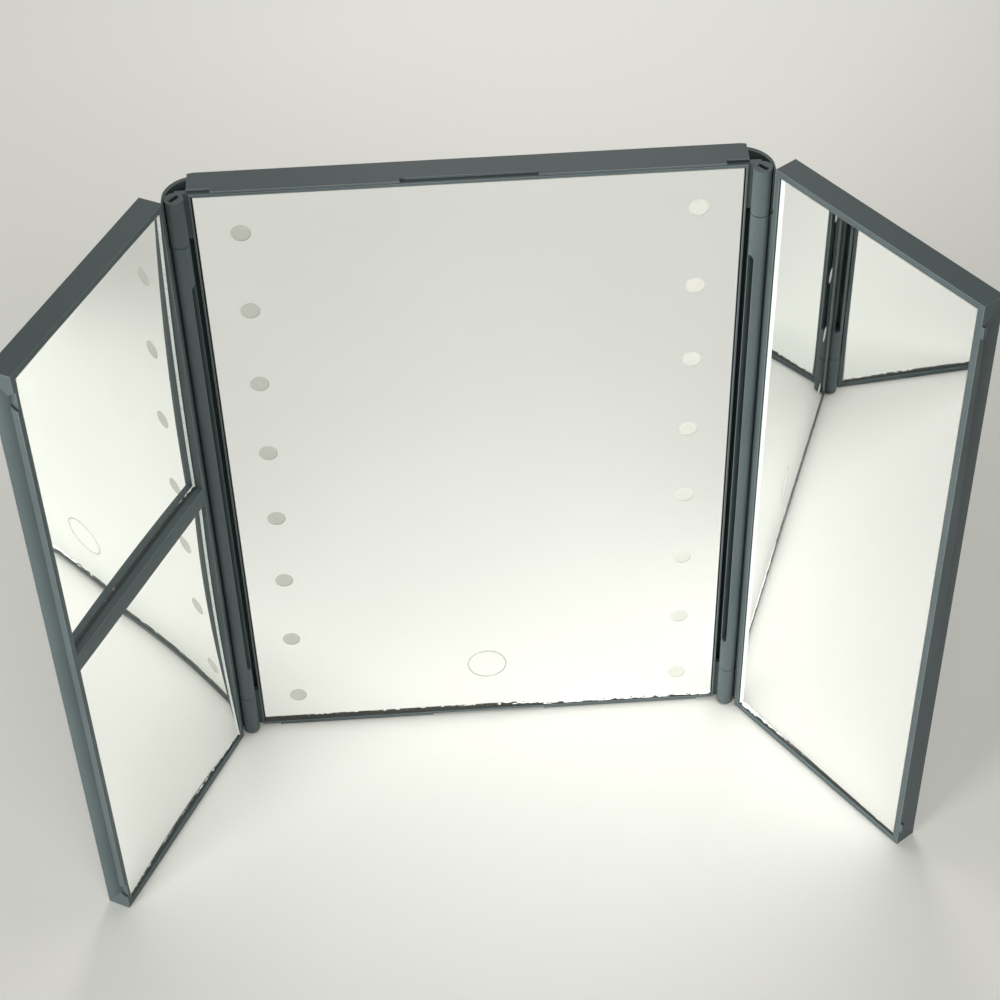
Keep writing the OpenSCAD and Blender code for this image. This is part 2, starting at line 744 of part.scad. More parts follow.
// How much deeper that point lies than the glass's highest corners
function dip(g) = g[1] == 0 ? 0
  : g[1] - sqrt(g[1] * g[1] - pow((wing_glass_x[1] - wing_glass_x[0]) / 2, 2)
    - pow(max(low_z(g) - g[0][0], g[0][1] - low_z(g)), 2));

// Ball whose surface is a curved glass's front, moved back by t
module glass_ball(g, t) {
  translate([wing_mid_x, axis_fwd + g[3] + dip(g) - g[1], low_z(g)]) rotate([90, 0, 0])
    sphere(r = g[1] + t, $fn = 400);
}

// Keeps what lies behind a glass and its tape
module under_glass(g) {
  t = glass_t + tape_t;
  if (g[1] == 0) intersection() {
    children();
    wing_slab([0, 2 * wing_end], [g[3] + t, 2 * wing_t], [-cut, panel_h + cut]);
  }
  else difference() {
    children();
    glass_ball(g, t);
  }
}

// A sheet that follows a glass: its box, and how far it lies behind the glass's front
module curved_sheet(g, x, z, t0, t1) {
  if (g[1] == 0) wing_slab(x, [g[3] + t0, g[3] + t1], z);
  else difference() {
    intersection() {
      wing_slab(x, [0, wing_t], z);
      glass_ball(g, t1);
    }
    glass_ball(g, t0);
  }
}

module wing_glass(g) {
  curved_sheet(g, wing_glass_x, g[0], 0, glass_t);
}

module wing_tape(g) {
  m = tape_margin;
  far = ledge_w - wing_glass_gap;
  difference() {
    curved_sheet(g, [wing_glass_x[0] + m, wing_glass_x[1] - m], [g[0][0] + m, g[0][1] - m],
      glass_t, glass_t + tape_t);
    wing_slab([wing_glass_x[0] + far, wing_glass_x[1] - far], [-cut, wing_t],
      [g[0][0] + far, g[0][1] - far]);
  }
}

// Half-round closing nib on the outer side of the lower end, in the wing's frame
module nib(r, out, z) {
  intersection() {
    translate([wing_end - 0.2, axis_fwd, z]) rotate([0, 90, 0])
      cylinder(r = r, h = out + 0.2);
    wing_slab([0, 2 * wing_end], [0.2, wing_t], [0, panel_h]);
  }
}

module left_wing_frame() {
  color(slate) on_left_wing() difference() {
    wing_body([lower_glass, upper_glass]);
    // half-round sockets that take the other wing's nibs
    both_ends() translate([wing_end - nib_out, axis_fwd - cut, nib_inset]) intersection() {
      rotate([0, 90, 0]) cylinder(r = nib_r + nib_clear + cut, h = nib_out + cut);
      translate([0, 0, -2 * nib_r]) cube([nib_out + cut, nib_r + nib_clear + cut, 4 * nib_r]);
    }
  }
}

module right_wing_frame() {
  color(slate) on_right_wing() {
    wing_body([right_glass]);
    both_ends() nib(nib_r, nib_out, nib_inset);
  }
}

module left_upper_mirror() {
  color(silver) on_left_wing() wing_glass(upper_glass);
}

module left_lower_mirror() {
  color(silver) on_left_wing() wing_glass(lower_glass);
}

module right_mirror() {
  color(silver) on_right_wing() wing_glass(right_glass);
}

module left_upper_tape() {
  color("white") on_left_wing() wing_tape(upper_glass);
}

module left_lower_tape() {
  color("white") on_left_wing() wing_tape(lower_glass);
}

module right_mirror_tape() {
  color("white") on_right_wing() wing_tape(right_glass);
}

centre_frame();
rear_shell();
centre_mirror();
centre_mirror_tape();
left_diffuser();
right_diffuser();
left_light_board();
right_light_board();
left_light_diodes();
right_light_diodes();
touch_pad();
control_board();
control_chips();
board_screws();
charging_socket();
battery_pack();
battery_tape();
battery_wires();
left_light_wires();
right_light_wires();
rear_screws();
left_hinge_pins();
right_hinge_pins();
left_wing_frame();
left_upper_mirror();
left_lower_mirror();
left_upper_tape();
left_lower_tape();
left_hinge_sleeves();
right_wing_frame();
right_mirror();
right_mirror_tape();
right_hinge_sleeves();
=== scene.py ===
# %% [markdown]
# # A trifold vanity mirror
#
# The real object is a shallow plastic tray with a lit mirror in it, and two mirrored wings
# that fold over the tray like the covers of a book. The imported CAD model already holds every
# part at its true size. This lesson keeps those parts as the skeleton and gives them the look
# of the real thing: matt moulded plastic, silvered glass with ground edges, frosted light
# windows. All lengths are metres, +Z is up and the viewer stands on the -Y side.

import json
import math

import bmesh
import bpy
import numpy as np
from mathutils import Matrix, Vector


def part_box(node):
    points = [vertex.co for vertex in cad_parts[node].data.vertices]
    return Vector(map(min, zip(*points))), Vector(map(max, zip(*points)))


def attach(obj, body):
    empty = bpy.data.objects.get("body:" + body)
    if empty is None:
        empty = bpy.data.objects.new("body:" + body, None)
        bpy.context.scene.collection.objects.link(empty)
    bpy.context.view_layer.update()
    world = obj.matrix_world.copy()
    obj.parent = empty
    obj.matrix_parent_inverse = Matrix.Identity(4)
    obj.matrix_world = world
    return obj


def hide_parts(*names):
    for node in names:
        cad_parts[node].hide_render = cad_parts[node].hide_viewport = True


MM = 0.001
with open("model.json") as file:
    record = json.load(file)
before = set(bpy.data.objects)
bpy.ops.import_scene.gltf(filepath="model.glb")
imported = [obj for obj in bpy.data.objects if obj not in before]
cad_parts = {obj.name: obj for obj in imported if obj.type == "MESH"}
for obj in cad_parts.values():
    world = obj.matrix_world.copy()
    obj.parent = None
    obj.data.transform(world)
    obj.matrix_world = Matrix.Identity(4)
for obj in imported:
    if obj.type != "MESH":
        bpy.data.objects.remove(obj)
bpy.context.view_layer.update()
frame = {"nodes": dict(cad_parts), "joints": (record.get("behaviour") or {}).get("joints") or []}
nodes = frame["nodes"]

# %% [markdown]
# ## Colours and shader nodes
#
# Colours are given as sRGB hex values, but shaders count in linear light, so one function turns
# the first into the second. A second small function adds any shader node with its settings and
# its wires, which keeps each material down to a few readable lines.


# %% Colour and node helpers
def linear(hex_colour):
    """Linear RGBA of an sRGB hex colour: c / 12.92 up to 0.04045, above it
    ((c + 0.055) / 1.055) ^ 2.4."""
    srgb = np.array([int(hex_colour[i : i + 2], 16) for i in (1, 3, 5)]) / 255
    lin = np.where(srgb <= 0.04045, srgb / 12.92, ((srgb + 0.055) / 1.055) ** 2.4)
    return (*lin.tolist(), 1.0)


def add(tree, kind, inputs=None, **settings):
    """Adds one shader node; an input is a value or another node's output socket."""
    made = tree.nodes.new("ShaderNode" + kind)
    for key, value in settings.items():
        setattr(made, key, value)
    for key, value in (inputs or {}).items():
        if isinstance(value, bpy.types.NodeSocket):
            tree.links.new(value, made.inputs[key])
        else:
            made.inputs[key].default_value = value
    return made


def finish(name, sockets):
    """Starts a material with one Principled shader whose sockets are set by name."""
    made = bpy.data.materials.new(name)
    made.use_nodes = True
    shader = made.node_tree.nodes["Principled BSDF"]
    for key, value in sockets.items():
        shader.inputs[key].default_value = value
    return made, made.node_tree, shader


def grain(tree, size, detail=2.0, stretch=(1, 1, 1)):
    """Even noise whose blobs are about size metres wide, read at the object's own coordinates."""
    place = add(tree, "TexCoord").outputs["Object"]
    scaled = add(tree, "Mapping", {"Vector": place, "Scale": stretch})
    sockets = {"Vector": scaled.outputs[0], "Scale": 1 / size, "Detail": detail}
    return add(tree, "TexNoise", sockets).outputs["Fac"]


def tones(tree, factor, *stops):
    """Colours along a factor: each stop is (place, hex colour)."""
    ramp = add(tree, "ValToRGB", {"Fac": factor})
    while len(ramp.color_ramp.elements) < len(stops):
        ramp.color_ramp.elements.new(0.5)
    for element, (place, hex_colour) in zip(ramp.color_ramp.elements, stops):
        element.position = place
        element.color = linear(hex_colour)
    return ramp.outputs["Color"]


def relief(tree, height, depth, strength=1.0):
    """Bump of that depth in metres, from a height between 0 and 1."""
    sockets = {"Height": height, "Distance": depth, "Strength": strength}
    return add(tree, "Bump", sockets).outputs["Normal"]


print("helpers ready; mid grey #808080 is", round(linear("#808080")[0], 4), "in linear light")

# %% [markdown]
# ## The camera
#
# The photograph was taken from above and a little to the left of the middle, looking down at
# about 45 degrees with a short telephoto view. The camera's place and angles were solved from
# the corners of the three panels, whose sizes are known, so the render can be laid over the
# photograph.

# %% Camera
CAMERA_PLACE = Vector((-18.27, -596.72, 699.06)) * MM
CAMERA_YAW, CAMERA_PITCH, CAMERA_ROLL = map(math.radians, (2.427, 44.538, -1.658))
CAMERA_LENS = 83.15  # mm
CAMERA_SENSOR = 36  # mm

ahead = Vector(
    (
        math.sin(CAMERA_YAW) * math.cos(CAMERA_PITCH),
        math.cos(CAMERA_YAW) * math.cos(CAMERA_PITCH),
        -math.sin(CAMERA_PITCH),
    )
)
level = Vector((math.cos(CAMERA_YAW), -math.sin(CAMERA_YAW), 0))
upright = level.cross(ahead)
right = math.cos(CAMERA_ROLL) * level + math.sin(CAMERA_ROLL) * upright
up = -math.sin(CAMERA_ROLL) * level + math.cos(CAMERA_ROLL) * upright

camera_data = bpy.data.cameras.new("camera")
camera_data.sensor_width = CAMERA_SENSOR
camera_data.lens = CAMERA_LENS
camera_data.clip_start = 0.01
camera_data.clip_end = 50
camera = bpy.data.objects.new("camera", camera_data)
bpy.context.scene.collection.objects.link(camera)
turn = Matrix((right, up, -ahead)).transposed().to_4x4()
camera.matrix_world = Matrix.Translation(CAMERA_PLACE) @ turn
bpy.context.scene.camera = camera
print("camera at", [round(c, 3) for c in CAMERA_PLACE], "lens", CAMERA_LENS)

# %% [markdown]
# ## Floor and light
#
# A mirror shows its surroundings, so the floor matters twice: under the object and inside
# every pane. It is a wide round sheet in a warm off-white. Six soft lamps light it. A low key
# from the front left throws the right wing's long shadow to the right and makes the left
# wing's end the brightest plastic. A wide lamp from the front right brightens the floor
# between the wings and leaves the floor outside the left wing in shade. A weak one from the
# left and a high one from behind open the shadows. A small close one behind the mirror gives
# the backdrop its pale middle. One high in front shines off the table's faint gloss into the
# panes, which is why the table looks paler in them than beside them. Camera and mirror rays
# see the surround as near-white, while it adds only a little light of its own.

# %% Floor
FLOOR_RADIUS = 6.0
FLOOR_SINK = 0.2 * MM  # keeps the sheet clear of the resting faces


def round_sheet(name, radius, rings, spokes):
    """Flat disc: x = r cos a, y = r sin a, with r growing as the square of the ring's number."""
    r = radius * (np.arange(1, rings + 1) / rings) ** 2
    a = np.linspace(0, 2 * math.pi, spokes, endpoint=False)
    x, y = np.outer(r, np.cos(a)).ravel(), np.outer(r, np.sin(a)).ravel()
    points = np.vstack([[0, 0, 0], np.column_stack([x, y, np.zeros_like(x)])])
    i, j = np.meshgrid(np.arange(rings - 1), np.arange(spokes), indexing="ij")
    inner, outer, after = i * spokes, (i + 1) * spokes, (j + 1) % spokes
    quads = np.stack([inner + j, outer + j, outer + after, inner + after], -1)
    spoke = np.arange(spokes)
    hub = np.column_stack([0 * spoke, 1 + spoke, 1 + (spoke + 1) % spokes])
    made = bpy.data.meshes.new(name)
    made.from_pydata(points.tolist(), [], hub.tolist() + (quads.reshape(-1, 4) + 1).tolist())
    return made


floor_data = round_sheet("floor", FLOOR_RADIUS, rings=8, spokes=96)
floor = bpy.data.objects.new("floor", floor_data)
bpy.context.scene.collection.objects.link(floor)
floor.location.z = -FLOOR_SINK
# a broad pale plane whose faint sheen brightens it towards the lamps
table, tree, shader = finish(
    "table, white laminate", {"Roughness": 0.4, "Specular IOR Level": 0.5}
)
cloudy = tones(tree, grain(tree, 0.5), (0.35, "#EDEDE8"), (0.65, "#F3F3EF"))
tree.links.new(cloudy, shader.inputs["Base Color"])
floor_data.materials.append(table)
print("floor radius", FLOOR_RADIUS, "m")

# %% Lamps and surround
SURROUND = "#EFF1EE"
SURROUND_LIGHT = "#F2F4F6"
SURROUND_FILL = 0.05
OBJECT_MIDDLE = Vector((0, 0, 0.12))


def soft_lamp(name, azimuth, elevation, distance, size, watts, colour, target=OBJECT_MIDDLE):
    """Square lamp aimed at a target, placed at d (cos e cos a, cos e sin a, sin e) in degrees."""
    a, e = math.radians(azimuth), math.radians(elevation)
    place = distance * Vector((math.cos(e) * math.cos(a), math.cos(e) * math.sin(a), math.sin(e)))
    data = bpy.data.lights.new(name, "AREA")
    data.size, data.energy, data.color = size, watts, linear(colour)[:3]
    made = bpy.data.objects.new(name, data)
    bpy.context.scene.collection.objects.link(made)
    made.rotation_euler = (target - place).to_track_quat("-Z", "Y").to_euler()
    made.location = place


# azimuth and elevation in degrees, distance and size in metres, power in watts, colour
soft_lamp("key", 222, 9, 2.5, 0.8, 60, "#FFFEFB")
soft_lamp("front_right", 290, 35, 2.5, 1.4, 12, "#FFFEF9")
soft_lamp("left", 180, 30, 2.5, 1.2, 2, "#FDFEFF")
soft_lamp("back", 90, 60, 2.5, 1.8, 4, "#FFFEF9")
soft_lamp("backdrop", 85, 47, 0.85, 0.25, 2.0, "#FFFEF9", Vector((0.05, 0.52, 0)))
soft_lamp("overhead_front", 269, 44, 2.5, 1.2, 13, "#FFFEF9", Vector((0, -0.3, 0)))

world = bpy.data.worlds.new("surround")
bpy.context.scene.world = world
world.use_nodes = True
tree = world.node_tree
tree.nodes.clear()
path = add(tree, "LightPath").outputs
direct = {0: path["Is Camera Ray"], 1: path["Is Glossy Ray"]}
seen = add(tree, "Math", direct, operation="ADD").outputs[0]
through = {0: seen, 1: path["Is Transmission Ray"]}
seen = add(tree, "Math", through, operation="ADD", use_clamp=True).outputs[0]
lit = add(tree, "Background", {"Color": linear(SURROUND_LIGHT), "Strength": SURROUND_FILL})
shown = add(tree, "Background", {"Color": linear(SURROUND), "Strength": 1.0})
both = add(tree, "MixShader", {0: seen, 1: lit.outputs[0], 2: shown.outputs[0]})
add(tree, "OutputWorld", {"Surface": both.outputs[0]})
bpy.context.scene.view_settings.view_transform = "Standard"

# %% [markdown]
# ## Slate ABS
#
# The frames and the shell are ABS plastic, injection moulded in a steel mould with a fine
# spark-eroded texture. To the eye that is a soft grey-blue sheen with no clear reflections.
# The mould's texture is about 0.1 mm, finer than one pixel, so the bump is drawn at 0.5 mm. Slots
# and gaps get a painted shade: the colour darkens where little open air is round about.
# A second, broader noise shifts the tone a little, as handling does. Where two faces meet, the
# texture is polished off by the mould's edge and by fingers, and the corner catches light: those
# bevels get their own paler, slightly smoother material, whose paleness is partly rubbed wear and
# partly a painted highlight along the corner.

# %% ABS materials
TEXTURE_DRAWN = 0.5 * MM
TEXTURE_DEPTH = 0.02 * MM
HANDLING = 45 * MM
CREVICE = 5 * MM  # how far a crevice looks round for open air
# colour of the painted shade laid into slots and gaps
PAINTED_CREVICE_SHADE = "#0B0E0F"
DARK_AT, CLEAR_AT = 0.05, 0.4  # shares of open air


def slate_abs(name, shades, roughness):
    """Matt moulded ABS: two close shades in broad patches, a painted shade that darkens slots and
    gaps where less than two fifths of the air round about is open, and an even fine texture in
    relief."""
    sockets = {"Roughness": roughness, "IOR": 1.54, "Specular IOR Level": 0.22}
    made, tree, shader = finish(name, sockets)
    base = tones(tree, grain(tree, HANDLING, 3), (0.35, shades[0]), (0.65, shades[1]))
    # painted shade: the base colour darkens to near-black where little of the air round about is
    # open
    openness = add(tree, "AmbientOcclusion", {"Distance": CREVICE}, samples=6).outputs["AO"]
    span = {"Value": openness, "From Min": DARK_AT, "From Max": CLEAR_AT}
    out_of_painted_shade = add(tree, "MapRange", span).outputs[0]
    shaded = add(tree, "Mix", {0: out_of_painted_shade, 6: linear(PAINTED_CREVICE_SHADE), 7: base}, data_type="RGBA")
    texture = grain(tree, TEXTURE_DRAWN, 1)
    tree.links.new(shaded.outputs[2], shader.inputs["Base Color"])
    tree.links.new(relief(tree, texture, TEXTURE_DEPTH, 0.5), shader.inputs["Normal"])
    return made


# soft blue-grey sheen
frame_abs = slate_abs("ABS, slate, spark-eroded texture", ("#4A5557", "#505B5D"), 0.52)
# the same colour, a shade duller
shell_abs = slate_abs("ABS, slate, shell", ("#4A5456", "#505A5C"), 0.55)
# pale thin lines along the corners: rubbed wear and a painted highlight
rubbed_and_highlit_abs = slate_abs("ABS, slate, rubbed corners with painted highlight", ("#677173", "#6F797B"), 0.42)
print("plastic:", frame_abs.name, "|", shell_abs.name, "|", rubbed_and_highlit_abs.name)

# %% [markdown]
# ## Softened mouldings
#
# A moulded part has no knife edges. The CAD meshes are exact but sharp, so each visible moulding
# is replaced by a copy of its own mesh: the loose triangles are merged, flat faces are joined up,
# and the long outer corners get a 0.15 mm bevel in the rubbed material, whose paler colour adds a
# painted highlight. A bevel in the mesh, not in the shader, gives real thin highlights from every
# side.

# %% Bevelled copies of the CAD mouldings
CORNER = 0.15 * MM
LONG_EDGE = 4 * MM
MERGE = 0.002 * MM
COPLANAR, CORNER_ANGLE, SMOOTH = map(math.radians, (0.4, 50, 18))


def softened(node_name, piece_name, body, skin):
    """Copy of a CAD moulding whose long convex corners are cut by two narrow facets."""
    shape = bmesh.new()
    shape.from_mesh(nodes[node_name].data)
    bmesh.ops.remove_doubles(shape, verts=shape.verts, dist=MERGE)
    bmesh.ops.dissolve_limit(
        shape, angle_limit=COPLANAR, verts=shape.verts, edges=shape.edges
    )
    for face in shape.faces:
        face.material_index = 0
    corners = [
        edge
        for edge in shape.edges
        if len(edge.link_faces) == 2
        and edge.is_convex
        and edge.calc_face_angle(0) > CORNER_ANGLE
        and edge.calc_length() > LONG_EDGE
    ]
    bmesh.ops.bevel(
        shape,
        geom=corners,
        offset=CORNER,
        segments=2,
        profile=0.5,
        affect="EDGES",
        clamp_overlap=False,
        material=1,
    )
    data = bpy.data.meshes.new(piece_name)
    shape.to_mesh(data)
    shape.free()
    data.materials.append(skin)
    data.materials.append(rubbed_and_highlit_abs)
    data.polygons.foreach_set("use_smooth", [True] * len(data.polygons))
    data.set_sharp_from_angle(angle=SMOOTH)
    piece = bpy.data.objects.new(piece_name, data)
    bpy.context.scene.collection.objects.link(piece)
    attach(piece, body)
    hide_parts(node_name)
    print(piece_name, "faces", len(data.polygons), "bevelled corners", len(corners))


softened("centre_frame", "centre_frame_moulding", "centre", frame_abs)
softened("rear_shell", "rear_shell_moulding", "centre", shell_abs)
softened("left_wing_frame", "left_wing_moulding", "left_wing", frame_abs)
softened("right_wing_frame", "right_wing_moulding", "right_wing", frame_abs)

# %% [markdown]
# ## Glass materials
#
# Each mirror is 2 mm float glass, silvered on the back and painted behind the silver. The eye
# sees three things: the silver, a clean metal mirror with a trace of green from the glass; the
# ground edge, a pale frosted line where the cut edge was rubbed down; and along the lower edges
# small chips, white where the fracture catches light, drawn as painted glints on a near-black
# band of painted shade.
# The chips are 0.5 to 2 mm long on the real panes, which is coarse enough to draw as it is.

# %% Silver, ground edge, chipped edge, back paint
# clear reflections of the table, a trace cooler than it
silver, tree, shader = finish(
    "glass, silvered behind", {"Metallic": 1.0, "Roughness": 0.012, "Specular IOR Level": 0.5}
)
haze = tones(tree, grain(tree, 60 * MM, 2), (0.3, "#F9FAF9"), (0.7, "#FBFCFB"))
tree.links.new(haze, shader.inputs["Base Color"])

# a pale frosted line
ground, tree, shader = finish("glass, ground edge", {"Roughness": 0.45, "IOR": 1.52})
frost = tones(tree, grain(tree, 0.4 * MM, 2), (0.35, "#C9D2CE"), (0.65, "#F0F4F1"))
tree.links.new(frost, shader.inputs["Base Color"])

# painted shade: near-black glass with white sparks as painted glints, more of them where the
# chips attribute is high
CHIP = 1.2 * MM
ALONG = (0.6, 0.6, 1.5)  # chips are longer along the edge than across it
chipped, tree, shader = finish("glass, chipped lower edge in painted shade", {"Roughness": 0.25, "IOR": 1.52})
amount = add(tree, "Attribute", attribute_name="chips").outputs["Fac"]
shards = {0: grain(tree, CHIP, 4, ALONG), 1: amount}
bright = add(tree, "Math", shards, operation="ADD").outputs[0]
flecks = tones(tree, bright, (0.88, "#23261F"), (0.97, "#6E726A"), (1.0, "#FAFBF8"))
tree.links.new(flecks, shader.inputs["Base Color"])

# dull grey lacquer behind the silver and along the hidden sides
paint, tree, shader = finish("mirror backing paint", {"Roughness": 0.6})
coat = tones(tree, grain(tree, 3 * MM, 2), (0.35, "#5E605E"), (0.65, "#6A6C6A"))
tree.links.new(coat, shader.inputs["Base Color"])
print("glass finishes:", [m.name for m in (silver, ground, chipped, paint)])

# %% [markdown]
# ## Where the wings stand
#
# The wings are drawn in a frame of their own: s runs outwards from the hinge axis, t runs
# backwards from the wing's front face, z is up. A wing's fold is the angle that its joint
# can still open to flat, so the joint list is enough to place it. The left wing is the mirror
# image of the right one.

# %% Panel frames
FRONT_Y = -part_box("rear_shell")[1].y
joints = {joint["child"]: joint for joint in frame["joints"]}


def wing_place(body, side):
    """Wing frame to world: flip x for the left side, turn by the fold, move to the hinge."""
    joint = joints[body]
    fold = math.radians(-joint["range_deg"][0])
    x, y, _ = joint["pos_m"]
    ahead_of_axis = Matrix.Translation((0, FRONT_Y - y, 0))
    return (
        Matrix.Translation((x, y, 0))
        @ Matrix.Rotation(-side * fold, 4, "Z")
        @ Matrix.Diagonal((side, 1, 1, 1))
        @ ahead_of_axis
    )


PLACES = {
    "centre": Matrix.Translation((0, FRONT_Y, 0)),
    "left_wing": wing_place("left_wing", -1),
    "right_wing": wing_place("right_wing", 1),
}


def panel_box(node_name, body):
    """Lowest and highest corner of a CAD node in its panel's own frame."""
    data = nodes[node_name].data
    points = np.empty(len(data.vertices) * 3)
    data.vertices.foreach_get("co", points)
    back = np.array(PLACES[body].inverted())
    local = points.reshape(-1, 3) @ back[:3, :3].T + back[:3, 3]
    return local.min(0), local.max(0)


GLASSES = {
    "centre_mirror": "centre",
    "left_lower_mirror": "left_wing",
    "left_upper_mirror": "left_wing",
    "right_mirror": "right_wing",
}
for name, body in GLASSES.items():
    print(name, [np.round(corner / MM, 2).tolist() for corner in panel_box(name, body)])

# %% [markdown]
# ## The panes
#
# A pane is one closed surface: a silver sheet, a narrow band round it that slopes up to the
# glass's front edge, the ground sides and the painted back. The band is what the eye sees of
# the glass's own edge through its front: on the side nearest the viewer a pale or chipped
# stripe, and next to nothing on the others. Glass makes 2 mm of depth look like 0.7 to
# 1.1 mm at the photograph's slant, and the wings' stripes are drawn about that wide; the
# centre's chipped edge is broader, 2.2 mm. The sheet is a grid of two parameters u and v; the
# two left panes are dished, and their depth follows a ball.


# %% Pane surface
SILVER_DEPTH = 0.25 * MM
CHIP_FADE = 0.42  # fewer bright chips towards the front edge
SILVER, GROUND, CHIPPED, PAINT = range(4)
ACROSS, UPWARDS = 24, 36  # cells of a sheet's grid
PANE_SMOOTH = math.radians(8)  # keeps the shallow bands apart from the sheet


def pane(
    node_name, piece_name, bands, skins, chips, ball=0.0, low=0.5, depth=SILVER_DEPTH, askew=0.0
):
    """Closed pane over a grid (u, v): s = s0 + a + u (w - a - b), z likewise, with a and b the
    bands' widths, and t = front + depth. A dished front follows a ball of radius R, deepest at
    (s', z') = (0, 0): t = t0 + sqrt(R^2 - s'^2 - z'^2) - sqrt(R^2 - far^2), where far is the
    farthest corner's distance. Bands and skins are given for the sides hinge, outer, bottom,
    top. The silver lies at depth, and askew (1 - u) more towards the hinge. Rows: silver, front
    edge, back edge, back."""
    body = GLASSES[node_name]
    (s0, t0, z0), (s1, t1, z1) = panel_box(node_name, body)
    wide, tall = s1 - s0, z1 - z0
    low_z = z0 + low * tall
    far_z = max(low_z - z0, z1 - low_z)
    corner = math.sqrt(ball**2 - wide**2 / 4 - far_z**2) if ball else 0.0
    thick = t1 - t0 - (ball - corner)
    step = UPWARDS + 1
    u, v = np.meshgrid(np.linspace(0, 1, ACROSS + 1), np.linspace(0, 1, step), indexing="ij")
    ring = np.concatenate(
        [
            np.arange(ACROSS) * step,
            ACROSS * step + np.arange(UPWARDS),
            np.arange(ACROSS, 0, -1) * step + UPWARDS,
            np.arange(UPWARDS, 0, -1),
        ]
    )
    side = np.repeat([2, 1, 3, 0], [ACROSS, UPWARDS, ACROSS, UPWARDS])

    def row(uu, vv, insets, below):
        s = s0 + insets[0] + uu * (wide - insets[0] - insets[1])
        z = z0 + insets[2] + vv * (tall - insets[2] - insets[3])
        ds, dz = s - s0 - wide / 2, z - low_z
        sag = np.sqrt(ball**2 - ds**2 - dz**2) - corner if ball else 0 * s
        return np.column_stack([s, t0 + sag + below, z])

    flat_u, flat_v, none = u.ravel(), v.ravel(), (0, 0, 0, 0)
    rows = [
        row(flat_u, flat_v, bands, depth + askew * (1 - flat_u)),
        row(flat_u[ring], flat_v[ring], none, 0.0),
        row(flat_u[ring], flat_v[ring], none, thick),
        row(flat_u, flat_v, none, thick),
    ]
    starts = np.cumsum([0] + [len(r) for r in rows])
    i, j = np.meshgrid(np.arange(ACROSS), np.arange(UPWARDS), indexing="ij")
    base = (i * step + j).ravel()
    sheet = np.column_stack([base, base + step, base + step + 1, base + 1])
    around = np.arange(len(ring))
    loops = [ring, starts[1] + around, starts[2] + around, starts[3] + ring]
    strips = [
        np.column_stack([a, b, np.roll(b, -1), np.roll(a, -1)]) for a, b in zip(loops, loops[1:])
    ]
    faces = np.vstack([sheet] + strips + [sheet[:, ::-1] + starts[3]])
    kinds = np.concatenate(
        [
            np.full(len(sheet), SILVER),
            np.array(skins)[side],
            np.full(len(ring), GROUND),
            np.full(len(ring) + len(sheet), PAINT),
        ]
    )
    points = np.vstack(rows)
    amounts = chips((points[:, 0] - s0) / wide)
    amounts[starts[1] :] -= CHIP_FADE
    matrix = np.array(PLACES[body])
    data = bpy.data.meshes.new(piece_name)
    data.from_pydata((points @ matrix[:3, :3].T + matrix[:3, 3]).tolist(), [], faces.tolist())
    for skin in (silver, ground, chipped, paint):
        data.materials.append(skin)
    data.polygons.foreach_set("material_index", kinds.astype(np.int32))
    layer = data.attributes.new("chips", "FLOAT", "POINT")
    layer.data.foreach_set("value", amounts.astype(np.float32))
    closed = bmesh.new()
    closed.from_mesh(data)
    bmesh.ops.recalc_face_normals(closed, faces=closed.faces)
    if closed.calc_volume(signed=True) < 0:
        bmesh.ops.reverse_faces(closed, faces=closed.faces)
    closed.to_mesh(data)
    closed.free()
    data.polygons.foreach_set("use_smooth", [True] * len(data.polygons))
    data.set_sharp_from_angle(angle=PANE_SMOOTH)
    piece = bpy.data.objects.new(piece_name, data)
    bpy.context.scene.collection.objects.link(piece)
    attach(piece, body)
    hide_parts(node_name)
    dish = round((ball - corner) / MM, 2)
    print(piece_name, "faces", len(faces), "glass", round(thick / MM, 2), "mm, dish", dish, "mm")


# %% The four panes
# radius of the ball in metres, and the height of the deepest point as a share of the pane's
UPPER_BALL, UPPER_LOW = 2.35, 0.07
LOWER_BALL, LOWER_LOW = 1.3, 0.61
HAIR = 0.12 * MM
centre_bands = (HAIR, HAIR, 2.2 * MM, HAIR)
right_bands = (0.7 * MM, HAIR, 0.8 * MM, HAIR)
left_bands = (0.45 * MM, HAIR, 1.0 * MM, HAIR)
LEFT_DEPTH = 0.6 * MM
RIGHT_ASKEW = 0.75 * MM  # half a degree: the image of the left hinge shows that tilt
wing_skins = (GROUND, PAINT, CHIPPED, PAINT)
pane(
    "centre_mirror",
    "centre_pane",
    centre_bands,
    (PAINT, PAINT, CHIPPED, PAINT),
    lambda k: 0.38 + 0.05 * np.clip(k / 0.3, 0, 1) + 0.42 * np.clip((k - 0.5) / 0.15, 0, 1),
)
pane(
    "right_mirror",
    "right_pane",
    right_bands,
    wing_skins,
    lambda k: 0.85 - 0.45 * np.clip(k / 0.4, 0, 1),
    askew=RIGHT_ASKEW,
)
pane(
    "left_upper_mirror",
    "left_upper_pane",
    left_bands,
    wing_skins,
    lambda k: 0.7 - 0.4 * np.clip(k / 0.2, 0, 1),
    ball=UPPER_BALL,
    low=UPPER_LOW,
    depth=LEFT_DEPTH,
)
pane(
    "left_lower_mirror",
    "left_lower_pane",
    left_bands,
    wing_skins,
    lambda k: 0.55 - 0.15 * k,
    ball=LOWER_BALL,
    low=LOWER_LOW,
    depth=LEFT_DEPTH,
)

# %% [markdown]
# ## Light windows and touch ring
#
# The light comes out through round windows that are etched in the silver, over a frosted
# diffuser. With the lights off they are flat warm-grey dots, a little darker round their
# lower side, where the thickness of the silvering and paint throws a shade. The touch ring is
# the same etching drawn as a thin line. Both are turned profiles: a low lens and a thin
# raised band, standing 0.02 to 0.03 mm clear of the silver so that they never flicker with
# it. The windows keep a third of the silver's shine, as dots of etching let some silver stay.

